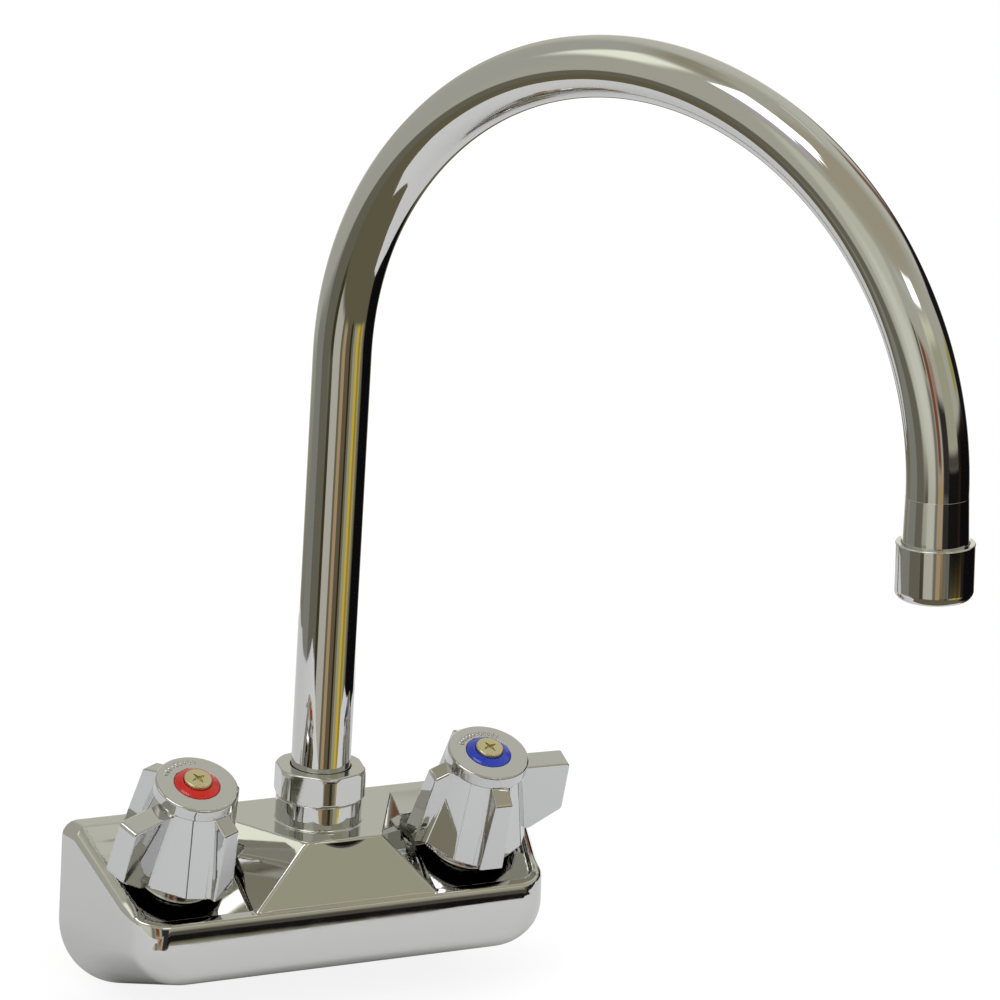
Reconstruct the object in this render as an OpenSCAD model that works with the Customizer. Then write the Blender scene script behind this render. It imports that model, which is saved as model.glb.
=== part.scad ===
// Splash mount faucet with a swivelling gooseneck spout and two quarter-turn
// lever handles on four inch centres. Lengths are in millimetres.
// The origin is the centre of the wall face between the two inlet shanks.
// X runs along the body, -Y points away from the wall, Z points up.

/* [Body casting] */
// Distance between the two inlets and between the two handles
inlet_centres = 101.6; // [95:0.1:110]
// Length of the body at the wall
body_back_l = 159.2; // [150:0.1:170]
// Length of the body at its front face
body_front_l = 144; // [130:0.1:150]
// Distance from the wall to the front face
body_d = 49.5; // [45:0.1:55]
// Height of the flat top above the inlet axis
plateau_z = 30; // [28:0.1:32]
// Depth of the bottom edge below the inlet axis at the wall
body_low_z = 28.3; // [25:0.1:32]
// Radius of the lower corners in the wall plane
low_corner_r = 25; // [15:0.5:26]
// Radius of the rounded front edges
edge_r = 4; // [3:0.1:5]
// Angle of the sloping pocket floors under the handles
slope_deg = 27.56; // [25:0.01:30]
// Depth of the flat ledge along the wall
ledge_d = 6.6; // [5:0.1:8]
// Depth of the recessed pocket floors
pocket_t = 1; // [0.5:0.1:1.5]
// Half width of the raised middle block at the ledge and at its foot
block_x = 32.3; // [30:0.1:34]
// Half width of the raised middle block at its top front edge
block_top_x = 13; // [12:0.1:15]

/* [Hub and nut] */
// Distance from the wall to the riser axis
riser_y = 21.2; // [20:0.1:25]
// Radius of the spout hub
hub_r = 13.9; // [13:0.1:15]
// Top of the visible part of the hub
hub_top_z = 38.2; // [37:0.1:41]
// Radius of the bore the spout turns in
hub_bore_r = 10; // [9.9:0.01:10.2]
// Radius of the threaded neck under the nut
neck_r = 12.2; // [11.8:0.1:12.6]
// Top of the threaded neck
neck_top_z = 43.5; // [42:0.1:45]
// Size across the flats of the spout nut
nut_af = 27.6; // [26:0.1:29]
// Top face of the spout nut
nut_top_z = 48.2; // [46:0.1:50]
// Turn of the spout nut, corner angle from straight ahead
nut_turn = 12; // [0:1:59]
// Radius to which the corners of the spout nut are turned
nut_r = 14.8; // [14:0.1:17]

/* [Gooseneck] */
// Outside radius of the spout tube
tube_r = 9.525; // [9:0.005:10]
// Wall thickness of the spout tube
tube_wall = 1; // [0.8:0.1:1.5]
// Centreline radius of the gooseneck bend
bend_r = 110.2; // [95:0.1:120]
// Height of the bend centre above the inlet axis
bend_z = 184.5; // [170:0.1:200]
// Angle by which the bend stops short of a half turn
outlet_lean = 3.4; // [0:0.1:8]
// Direction the spout points, from +X toward the front
spout_deg = 63.1; // [0:0.1:90]
// Radius of the outlet adapter
adapter_r = 9.95; // [9.8:0.05:10.5]
// Radius of the aerator shell
aerator_r = 11.9; // [11.5:0.05:12.5]
// Top of the aerator shell, along the leaning axis of the outlet
aerator_top_z = 168.7; // [160:0.1:178]
// Height of the aerator shell
aerator_h = 17.1; // [14:0.1:18]

/* [Valves and handles] */
// Forward tilt of the valve axes
valve_tilt = 21; // [15:0.5:28]
// Distance from the wall to the foot of the valve axis
valve_y = 26.27; // [24:0.01:29]
// Height of the foot of the valve axis
valve_z = 19.73; // [18:0.01:22]
// Rest angle of the long arm of the hot handle
hot_rest = 157; // [135:1:180]
// Rest angle of the long arm of the cold handle
cold_rest = 1; // [-20:1:30]
// Radius of the handle cap
cap_r = 13.3; // [12:0.1:14]
// Height of the underside of the handle above the valve foot
handle_foot = 3.5; // [3:0.1:6]
// Height of the top of the handle above the valve foot
handle_top = 35.8; // [34:0.1:38]
// Reach of the long arm at its top
long_arm = 29; // [24:0.1:30]
// Reach of the two short fins at their top
short_arm = 18.2; // [16:0.1:20]
// Reach at its top of the fin that points to the wall
back_arm = 20.2; // [16:0.1:21]
// Thickness of the three short fins
arm_t = 6.4; // [5:0.1:7]
// Thickness of the long arm
long_arm_t = 7.4; // [6:0.1:8]
// Radius of the handle body at its foot
skirt_r = 18.4; // [17:0.1:20]
// Radius of the index ring
ring_r = 7.35; // [6.5:0.05:8]
// Radius of the handle screw head
screw_r = 4.45; // [4:0.05:5]

/* [Inlets] */
// Outside radius of the threaded inlet shanks
shank_r = 10.48; // [10.4:0.01:10.6]
// Length of the shanks beyond the wall face
shank_l = 34; // [30:1:60]
// Bore radius of the shanks
shank_bore_r = 6.5; // [5:0.1:8]
// Wall thickness left free between the body and the washers
wall_gap = 12; // [2:1:20]

/* [Hidden] */
$fn = 64;
cx = inlet_centres / 2;
front_x = body_front_l / 2;
back_x = body_back_l / 2;
front_y = -body_d;
floor_z = -11.4;
spout_axis_y = -riser_y;
tube_in_r = tube_r - tube_wall;
end_z = aerator_top_z + 2;
adapter_top_z = bend_z;
// Radius of the tube's swaged end
end_r = tube_r - 0.1;
aerator_low_z = aerator_top_z - aerator_h;
small = 0.02;

// Plane of the pocket floors: the depth below it of a rounding centre gives its height.
function slope_at(y, depth) = plateau_z - ((-y - ledge_d) * sin(slope_deg) + depth) / cos(slope_deg);

module valve_frame(side, turn = 0) {
  translate([side * cx, -valve_y, valve_z])
    rotate([valve_tilt, 0, 0])
      rotate([0, 0, turn])
        children();
}

module ball(x, y, z, r, n = 32) {
  translate([x, y, z])
    sphere(r = r, $fn = n);
}

module ring(r_out, r_in, z0, z1) {
  translate([0, 0, z0])
    difference() {
      cylinder(r = r_out, h = z1 - z0);
      translate([0, 0, -small])
        cylinder(r = r_in, h = z1 - z0 + 2 * small);
    }
}

module o_ring(mean_r, cord_r, z) {
  translate([0, 0, z])
    rotate_extrude()
      translate([mean_r, 0])
        circle(r = cord_r, $fn = 24);
}

// Outer skin of the casting, before the pockets are sunk into the slope.
module body_skin() {
  front_c = front_x - edge_r;
  hull()
    for (s = [-1, 1]) {
      translate([s * (back_x - 5), 0, plateau_z - 5])
        rotate([90, 0, 0])
          cylinder(r = 5, h = 1, $fn = 48);
      translate([s * (back_x - low_corner_r), 0, low_corner_r - body_low_z])
        rotate([90, 0, 0])
          cylinder(r = low_corner_r, h = 1, $fn = 64);
      ball(s * (back_x - 4.4), -6, plateau_z - 2.5, 2.5);
      ball(s * (front_c - 5), front_y + edge_r, slope_at(front_y + edge_r, edge_r), edge_r);
      ball(s * (front_c - 1.5), front_y + edge_r + 1.4, slope_at(front_y + edge_r + 1.4, edge_r), edge_r);
      ball(s * front_c, front_y + edge_r + 5, slope_at(front_y + edge_r + 5, edge_r), edge_r);
      for (a = [0 : 18 : 90])
        ball(s * (front_c - 16 + 16 * cos(a)), front_y + edge_r + 5 * pow(cos(a), 2),
             floor_z + edge_r + 11 - 11 * sin(a), edge_r);
    }
}

// Raised middle block that carries the hub, with its steep trapezoid front.
module body_block() {
  r = 0.8;
  hull()
    for (s = [-1, 1]) {
      ball(s * (block_x - r), -ledge_d, plateau_z - r, r, 16);
      ball(s * (block_top_x - 0.4 * r), -41.5 + r, plateau_z - r, r, 16);
      ball(s * (block_x - r), -47.4 + r, 9, r, 16);
      ball(s * (block_x - r), -44, 0, r, 16);
      ball(s * (block_x - r), -ledge_d, 0, r, 16);
    }
}

// One recessed pocket floor, cut square to the slope.
module pocket_cut(s) {
  corner = 4.5;
  low = 42.6;
  top_x = 75.6;
  low_x = 68;
  arc = [for (a = [0 : 15 : 90]) [low_x - corner + corner * cos(a), low - corner + corner * sin(a)]];
  translate([0, -ledge_d, plateau_z])
    rotate([180 + slope_deg, 0, 0])
      mirror([s < 0 ? 1 : 0, 0, 0])
        translate([0, 0, -6])
          linear_extrude(6 + pocket_t)
            polygon(concat([[block_x - 6, 0.8], [top_x, 0.8]], arc, [[block_x - 6, low]]));
}

module body_waterways() {
  // Inlet pockets and passages behind the valves.
  for (s = [-1, 1]) {
    translate([s * cx, small, 0])
      rotate([90, 0, 0])
        cylinder(r = shank_r + 0.6, h = 1.5 + small);
    translate([s * cx, small, 0])
      rotate([90, 0, 0])
        cylinder(r = 8.5, h = 10 + small);
    translate([s * cx, 0, 0])
      rotate([90, 0, 0])
        cylinder(r = 5, h = 23);
    valve_frame(s) {
      translate([0, 0, -22])
        cylinder(r = 4, h = 6);
      translate([0, 0, -17])
        cylinder(r = 9, h = 20);
      translate([0, 0, -3])
        cylinder(r = 10.5, h = 6);
      translate([0, 0, -10.5])
        cylinder(r = 10.5, h = 5);
    }
  }
  // Cross passage to the middle chamber and the bore for the spout sleeve.
  translate([-cx, -22.6, 11.6])
    rotate([0, 90, 0])
      cylinder(r = 3.5, h = 2 * cx);
  translate([0, spout_axis_y, 6])
    cylinder(r = 6.5, h = 14);
  translate([0, spout_axis_y, 15])
    cylinder(r = hub_bore_r, h = 40);
}

module body_casting() {
  color([0.86, 0.86, 0.84])
    difference() {
      union() {
        difference() {
          body_skin();
          pocket_cut(-1);
          pocket_cut(1);
        }
        body_block();
        translate([0, spout_axis_y, plateau_z - 3.2])
          cylinder(r = 21.8, h = 3.2);
        translate([0, spout_axis_y, plateau_z - 4])
          cylinder(r = hub_r, h = hub_top_z - plateau_z + 4);
        translate([0, spout_axis_y, plateau_z])
          cylinder(r = neck_r, h = neck_top_z - plateau_z);
        for (s = [-1, 1])
          valve_frame(s)
            translate([0, 0, -8])
              cylinder(r = 13, h = 9.6);
      }
      body_waterways();
      // Lightening pockets left open toward the wall.
      for (s = [-1, 1]) {
        translate([s * 27 - 11, -34, -21])
          cube([22, 34 + small, 25]);
        translate([s * 27 - 11, -26, 18])
          cube([22, 26 + small, 6.5]);
      }
    }
}

module shank(s) {
  color([0.78, 0.66, 0.38])
    translate([s * cx, 0, 0])
      rotate([-90, 0, 0])
        difference() {
          union() {
            translate([0, 0, -9.9])
              cylinder(r = 8.45, h = 11);
            translate([0, 0, -1.5])
              cylinder(r = shank_r, h = wall_gap + 10.5);
            cylinder(r = shank_r - 0.9, h = shank_l);
            translate([0, 0, wall_gap + 9.8])
              cylinder(r = shank_r, h = shank_l - wall_gap - 10.6);
            translate([0, 0, shank_l - 0.8])
              cylinder(r1 = shank_r, r2 = shank_r - 0.8, h = 0.8);
          }
          translate([0, 0, -11])
            cylinder(r = shank_bore_r, h = shank_l + 12);
        }
}

module wall_washer(s) {
  color([0.7, 0.71, 0.72])
    translate([s * cx, wall_gap, 0])
      rotate([-90, 0, 0])
        ring(17, shank_r + 0.3, 0, 2);
}

module lock_nut(s) {
  color([0.78, 0.66, 0.38])
    translate([s * cx, wall_gap + 2, 0])
      rotate([-90, 0, 0])
        difference() {
          intersection() {
            cylinder(r = 15.5 / cos(30), h = 6.5, $fn = 6);
            cylinder(r = 17, h = 6.5);
          }
          translate([0, 0, -1])
            cylinder(r = shank_r + 0.04, h = 9);
        }
}

// The whole spout turns about the riser axis; this places its parts in the rest pose.
module spout_frame() {
  translate([0, spout_axis_y, 0])
    rotate([0, 0, -spout_deg])
      children();
}

// The outlet leans out a little, because the bend stops short of a half turn.
module outlet_frame() {
  spout_frame()
    translate([bend_r, 0, bend_z])
      rotate([0, -outlet_lean, 0])
        translate([bend_r, 0, -bend_z])
          children();
}

module bend(r) {
  translate([bend_r, 0, bend_z])
    rotate([90, 0, 0])
      rotate_extrude(angle = 180 - outlet_lean, start = outlet_lean, $fn = 160)
        translate([bend_r, 0])
          circle(r = r, $fn = 64);
}

module spout_tube() {
  color([0.86, 0.86, 0.84]) {
    spout_frame()
      difference() {
        union() {
          translate([0, 0, 46])
            cylinder(r = tube_r, h = bend_z - 46);
          bend(tube_r);
        }
        translate([0, 0, 45])
          cylinder(r = tube_in_r, h = bend_z - 45);
        bend(tube_in_r);
      }
    outlet_frame()
      difference() {
        translate([0, 0, end_z])
          cylinder(r = end_r, h = bend_z - end_z + 1.5);
        translate([0, 0, end_z - 1])
          cylinder(r = tube_in_r + 0.1, h = bend_z - end_z + 4);
      }
  }
}

module spout_sleeve() {
  color([0.78, 0.66, 0.38])
    translate([0, spout_axis_y, 0])
      difference() {
        union() {
          translate([0, 0, 16])
            cylinder(r = 9.95, h = 28.5);
          translate([0, 0, 44.6])
            cylinder(r = 11.6, h = 1.4);
          translate([0, 0, 44])
            cylinder(r = 9.95, h = 1);
          translate([0, 0, 46])
            cylinder(r = tube_in_r, h = 12);
        }
        translate([0, 0, 15])
          cylinder(r = 6.8, h = 44);
        ring(11, 7.9, 22, 24.6);
        ring(11, 7.9, 32, 34.6);
      }
}

module spout_o_ring(z) {
  color([0.1, 0.1, 0.1])
    translate([0, spout_axis_y, 0])
      o_ring(8.935, 1.03, z);
}

module spout_thrust_washer() {
  color([0.92, 0.92, 0.9])
    translate([0, spout_axis_y, 0])
      ring(11.9, 10.3, neck_top_z, 44.3);
}

module spout_slip_ring() {
  color([0.92, 0.92, 0.9])
    translate([0, spout_axis_y, 0])
      ring(11.9, 9.9, 46.3, 46.8);
}

module spout_nut() {
  color([0.86, 0.86, 0.84])
    translate([0, spout_axis_y, 0])
      rotate([0, 0, -90 - nut_turn])
        difference() {
          intersection() {
            translate([0, 0, hub_top_z])
              cylinder(r = nut_af / 2 / cos(30), h = nut_top_z - hub_top_z, $fn = 6);
            translate([0, 0, hub_top_z])
              cylinder(r = nut_r, h = nut_top_z - hub_top_z);
            translate([0, 0, hub_top_z - 8])
              cylinder(r1 = nut_r + 17.5, r2 = nut_r - 0.5, h = nut_top_z - hub_top_z + 8);
            translate([0, 0, hub_top_z])
              cylinder(r1 = nut_r - 0.8, r2 = nut_r + 9.2, h = nut_top_z - hub_top_z);
          }
          translate([0, 0, hub_top_z - 1])
            cylinder(r = neck_r + 0.04, h = neck_top_z - hub_top_z + 1);
          translate([0, 0, neck_top_z - 1])
            cylinder(r = 12, h = 4.3);
          translate([0, 0, 46])
            cylinder(r = 9.9, h = 4);
        }
}

module outlet_adapter() {
  color([0.86, 0.86, 0.84])
    outlet_frame()
      difference() {
        union() {
          translate([0, 0, aerator_top_z - 2])
            cylinder(r = adapter_r, h = 4);
          translate([0, 0, aerator_top_z + 2])
            cylinder(r1 = adapter_r, r2 = tube_r + 0.05, h = adapter_top_z - aerator_top_z - 2);
          translate([0, 0, aerator_top_z - 8])
            cylinder(r = 10.55, h = 6.9);
        }
        translate([0, 0, aerator_top_z - 9])
          cylinder(r = 8, h = 12);
        translate([0, 0, end_z])
          cylinder(r = end_r, h = 14);
      }
}

module aerator_shell() {
  r0 = aerator_r;
  z1 = aerator_h;
  arc = [for (a = [0 : 15 : 90]) [r0 - 3.2 + 3.2 * cos(a), 3.2 - 3.2 * sin(a)]];
  color([0.86, 0.86, 0.84])
    outlet_frame()
      translate([0, 0, aerator_low_z])
        rotate_extrude()
          polygon(concat([[adapter_r + 0.1, z1], [r0 - 0.5, z1], [r0, z1 - 0.5]],
                         [for (i = [0 : 6]) arc[i]],
                         [[8.2, 0], [8.2, 1.5], [10.2, 1.5], [10.2, 8], [10.6, 8], [10.6, z1 - 1], [adapter_r + 0.1, z1 - 0.4]]));
}

module aerator_gasket() {
  color([0.1, 0.1, 0.1])
    outlet_frame()
      ring(10.1, 7.6, aerator_top_z - 9.4, aerator_top_z - 8);
}

module aerator_insert() {
  hole = 0.7;
  color([0.92, 0.92, 0.9])
    outlet_frame()
      translate([0, 0, aerator_low_z])
        difference() {
          union() {
            translate([0, 0, 1.5])
              cylinder(r = 10.1, h = 6.2);
            translate([0, 0, 0.3])
              cylinder(r = 8.0, h = 1.4);
          }
          translate([0, 0, 3])
            cylinder(r = 8.6, h = 6);
          for (ringpos = [2.4, 4.8, 6.8])
            for (k = [0 : floor(ringpos * 2.5)])
              rotate([0, 0, k * 360 / (floor(ringpos * 2.5) + 1)])
                translate([ringpos, 0, -1])
                  cylinder(r = hole, h = 6, $fn = 16);
        }
}

// Valve parts, drawn along the valve axis with zero at the pocket slope.
module cartridge(s) {
  color([0.78, 0.66, 0.38])
    valve_frame(s)
      difference() {
        union() {
          translate([0, 0, -16.5])
            cylinder(r = 8.8, h = 14);
          translate([0, 0, -3])
            cylinder(r = 9.9, h = 2);
          translate([0, 0, -1.5])
            cylinder(r = 6, h = 12.5);
        }
        translate([0, 0, -17])
          cylinder(r = 7.1, h = 12);
        translate([0, 0, -6])
          cylinder(r = 4.05, h = 20);
        ring(10, 7.9, -14.4, -12.2);
        for (k = [0, 60, 120])
          rotate([0, 0, k])
            translate([-10, 0, -8.4])
              rotate([0, 90, 0])
                cylinder(r = 1.5, h = 20);
      }
}

module cartridge_o_ring(s) {
  color([0.1, 0.1, 0.1])
    valve_frame(s)
      o_ring(8.44, 0.53, -13.3);
}

module bonnet_nut(s) {
  color([0.78, 0.66, 0.38])
    valve_frame(s)
      difference() {
        union() {
          translate([0, 0, -1])
            cylinder(r = 10.5, h = 2.6);
          translate([0, 0, 1.6])
            cylinder(r = 9.5 / cos(30), h = 5, $fn = 6);
          translate([0, 0, 6.6])
            cylinder(r = 8, h = 1.6);
        }
        translate([0, 0, -2])
          cylinder(r = 6, h = 12);
      }
}

module seat_seal(s) {
  color([0.1, 0.1, 0.1])
    valve_frame(s)
      ring(7, 4.2, -17, -14.8);
}

module fixed_disc(s) {
  color([0.95, 0.95, 0.93])
    valve_frame(s)
      difference() {
        translate([0, 0, -14.8])
          cylinder(r = 7, h = 2.5);
        for (k = [-1, 1])
          translate([k * 3.4, 0, -15])
            cylinder(r = 1.9, h = 3);
      }
}

module moving_disc(s) {
  color([0.95, 0.95, 0.93])
    valve_frame(s)
      difference() {
        translate([0, 0, -12])
          cylinder(r = 6.8, h = 2.4);
        for (k = [-1, 1])
          translate([0, k * 3.4, -12.5])
            cylinder(r = 1.9, h = 4);
      }
}

module stem(s) {
  color([0.78, 0.66, 0.38])
    valve_frame(s)
      difference() {
        union() {
          translate([0, 0, -9.6])
            cylinder(r = 6.4, h = 2);
          translate([0, 0, -8])
            cylinder(r = 4, h = 21);
          translate([0, 0, 12.8])
            cylinder(r = 3.6, h = 17.2);
        }
        ring(5, 3, 4, 6);
        ring(5, 3.3, 11.4, 12.2);
        translate([0, 0, 16])
          cylinder(r = 1.7, h = 15);
        for (k = [-1, 1])
          translate([0, k * 3.4, -10])
            cylinder(r = 1.9, h = 3, $fn = 32);
      }
}

module stem_o_ring(s) {
  color([0.1, 0.1, 0.1])
    valve_frame(s)
      o_ring(3.51, 0.51, 5);
}

module stem_clip(s) {
  color([0.7, 0.71, 0.72])
    valve_frame(s)
      difference() {
        ring(5.6, 3.33, 11.42, 12.18);
        translate([2, -2.4, 11])
          cube([6, 4.8, 2]);
      }
}

// Handle profiles run out from the valve axis and up from the valve foot.
long_profile = [[8, 4.4], [20.6, 4.4], [long_arm + 1.4, 11.6], [long_arm, 30.6], [14, 30.8], [8, 30.8]];
short_profile = [[8, handle_foot], [short_arm + 2.4, handle_foot], [short_arm, 28.3], [14, 30.6], [8, 30.6]];
back_profile = [[8, handle_foot], [back_arm + 2.4, handle_foot], [back_arm, 29.3], [16, 31], [8, 31]];

module arm(profile, thick) {
  rotate([90, 0, 0])
    translate([0, 0, -thick / 2])
      linear_extrude(thick)
        polygon(profile);
}

module handle(s, turn) {
  base = handle_foot;
  rim_z = handle_top - 4.5;
  color([0.86, 0.86, 0.84])
    valve_frame(s, -turn)
      difference() {
        union() {
          translate([0, 0, base])
            cylinder(r1 = skirt_r, r2 = 12.3, h = rim_z - base);
          translate([0, 0, rim_z - small])
            cylinder(r = cap_r, h = 4 + small);
          translate([0, 0, rim_z + 4 - small])
            cylinder(r1 = cap_r, r2 = cap_r - 0.5, h = 0.5 + small);
          arm(long_profile, long_arm_t);
          for (k = [90, 180, 270])
            rotate([0, 0, k])
              arm(k == 180 - 90 * s ? back_profile : short_profile, arm_t);
        }
        // Hollow underside around the bonnet, with the splined socket left standing.
        difference() {
          translate([0, 0, base - 1])
            cylinder(r1 = 16.4, r2 = 10.6, h = 25.5);
          translate([0, 0, 14])
            cylinder(r = 6.2, h = 20);
        }
        translate([0, 0, 12])
          cylinder(r = 3.64, h = 18.2);
        translate([0, 0, 28])
          cylinder(r = 2.2, h = 12);
        translate([0, 0, handle_top - 1.4])
          cylinder(r = ring_r, h = 3);
      }
}

module index_ring(s, hue) {
  color(hue)
    valve_frame(s)
      translate([0, 0, handle_top - 1.4])
        difference() {
          union() {
            cylinder(r = ring_r - 0.05, h = 1.5);
            translate([0, 0, 1.5])
              cylinder(r1 = ring_r - 0.05, r2 = 5, h = 1.5);
          }
          translate([0, 0, -1])
            cylinder(r = 2.2, h = 6);
          translate([0, 0, 2])
            cylinder(r = screw_r + 0.1, h = 3);
        }
}

module handle_screw(s) {
  color([0.85, 0.74, 0.5])
    valve_frame(s)
      translate([0, 0, handle_top + 0.6])
        difference() {
          union() {
            translate([0, 0, -15])
              cylinder(r = 1.7, h = 15.5);
            cylinder(r = screw_r, h = 1.3);
            translate([0, 0, 1.3])
              cylinder(r1 = screw_r, r2 = screw_r - 1, h = 0.6);
          }
          for (k = [0, 90])
            rotate([0, 0, k + 20])
              translate([-2.4, -0.45, 0.8])
                cube([4.8, 0.9, 2]);
        }
}

body_casting();
shank(-1);  // hot_shank
shank(1);  // cold_shank
wall_washer(-1);  // hot_wall_washer
wall_washer(1);  // cold_wall_washer
lock_nut(-1);  // hot_lock_nut
lock_nut(1);  // cold_lock_nut
spout_tube();
spout_sleeve();
spout_o_ring(23.3);  // spout_lower_o_ring
spout_o_ring(33.3);  // spout_upper_o_ring
spout_thrust_washer();
spout_slip_ring();
spout_nut();
outlet_adapter();
aerator_shell();
aerator_gasket();
aerator_insert();
cartridge(-1);  // hot_cartridge
cartridge_o_ring(-1);  // hot_cartridge_o_ring
bonnet_nut(-1);  // hot_bonnet_nut
seat_seal(-1);  // hot_seat_seal
fixed_disc(-1);  // hot_fixed_disc
moving_disc(-1);  // hot_moving_disc
stem(-1);  // hot_stem
stem_o_ring(-1);  // hot_stem_o_ring
stem_clip(-1);  // hot_stem_clip
handle(-1, hot_rest);  // hot_handle
index_ring(-1, [0.8, 0.1, 0.08]);  // hot_index_ring
handle_screw(-1);  // hot_handle_screw
cartridge(1);  // cold_cartridge
cartridge_o_ring(1);  // cold_cartridge_o_ring
bonnet_nut(1);  // cold_bonnet_nut
seat_seal(1);  // cold_seat_seal
fixed_disc(1);  // cold_fixed_disc
moving_disc(1);  // cold_moving_disc
stem(1);  // cold_stem
stem_o_ring(1);  // cold_stem_o_ring
stem_clip(1);  // cold_stem_clip
handle(1, cold_rest);  // cold_handle
index_ring(1, [0.1, 0.2, 0.75]);  // cold_index_ring
handle_screw(1);  // cold_handle_screw
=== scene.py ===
# %% [markdown]
# # A chromed splash mount faucet
# The faucet is a cast brass body under bright chrome plate, a bent tube for a spout and
# two die-cast handles. A chromed thing has no colour of its own: what the eye reads is
# the shape of the reflections. So each visible piece gets a clean, exactly curved skin,
# and the room around it gets the few big light and dark shapes that chrome needs.

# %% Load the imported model
from math import atan2, cos, pi, radians, sin, tan
import bpy
import numpy as np
from mathutils import Matrix, Vector


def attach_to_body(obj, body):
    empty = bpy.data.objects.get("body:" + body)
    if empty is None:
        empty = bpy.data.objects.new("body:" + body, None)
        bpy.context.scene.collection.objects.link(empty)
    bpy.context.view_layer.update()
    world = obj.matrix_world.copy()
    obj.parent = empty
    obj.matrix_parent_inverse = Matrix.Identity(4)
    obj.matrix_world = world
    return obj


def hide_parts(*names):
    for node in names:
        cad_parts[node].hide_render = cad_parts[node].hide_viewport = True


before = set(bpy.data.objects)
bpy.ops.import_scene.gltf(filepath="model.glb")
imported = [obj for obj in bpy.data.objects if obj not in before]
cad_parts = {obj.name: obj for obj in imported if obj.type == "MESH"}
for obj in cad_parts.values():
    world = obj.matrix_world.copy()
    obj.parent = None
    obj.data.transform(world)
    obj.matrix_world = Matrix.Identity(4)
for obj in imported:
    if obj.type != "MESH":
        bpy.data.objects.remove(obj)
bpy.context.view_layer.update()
scene = bpy.context.scene

# %% [markdown]
# ## Colours and nodes
# Finishes are written as the hex colours a painter would read off a chart. Blender's
# shaders want linear light, so one function turns hex to linear. A second small function
# adds a node with its settings and its inputs; every tree in this lesson uses it.

# %% Helpers for colours and nodes
def linear(code):
    """A colour in linear light, from its sRGB hex code."""
    parts = [int(code[i:i + 2], 16) / 255 for i in (1, 3, 5)]
    return tuple(p / 12.92 if p <= 0.04045 else ((p + 0.055) / 1.055) ** 2.4 for p in parts) + (1.0,)


def add(tree, kind, inputs=None, **settings):
    """One node. An input is a value, an output, or a node that gives its first output."""
    made = tree.nodes.new(kind)
    for key, value in settings.items():
        setattr(made, key, value)
    for key, value in (inputs or {}).items():
        if isinstance(value, bpy.types.Node):
            value = value.outputs[0]
        if isinstance(value, bpy.types.NodeSocket):
            tree.links.new(value, made.inputs[key])
        else:
            made.inputs[key].default_value = value
    return made


# %% [markdown]
# ## The camera
# The photograph was taken from in front, left of and above the faucet with a long lens.
# The camera's place and turn were solved once from straight edges and the round spout,
# so it is written here as a position and two directions, and no aim constraint is needed.

# %% Camera
def put(name, data):
    """A new object in the scene."""
    made = bpy.data.objects.new(name, data)
    scene.collection.objects.link(made)
    return made


right = Vector((0.89646799, -0.43910504, 0.05942984))
up = Vector((0.07763534, 0.28769333, 0.95457074))
back = right.cross(up)
camera = put("camera", bpy.data.cameras.new("camera"))
camera.data.sensor_width = 36
camera.data.lens = 196.257
camera.data.clip_start = 0.05
turn = Matrix((right, up, back)).transposed().to_4x4()
camera.matrix_world = Matrix.Translation((-0.702948, -1.506659, 0.641501)) @ turn
scene.camera = camera
scene.view_settings.view_transform = "Standard"
print("camera", round(camera.location.length, 3), "m from the wall face")

# %% [markdown]
# ## The room that the chrome sees
# The camera sees a white backdrop and the diffuse surfaces get plain even light. Only
# mirror reflections see the room: warm grey walls and ceiling, a skylight and a few small
# lamps, a big pale screen in front, furniture below eye level, a black doorway to the
# right and a dim floor. Each shape is a soft-edged patch given by compass direction (0 is
# straight ahead of the faucet, + is toward the cold side) and height in degrees, and a
# later patch lies over the ones before it. A world made this way has no noise and nothing
# stands in the view.

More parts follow.
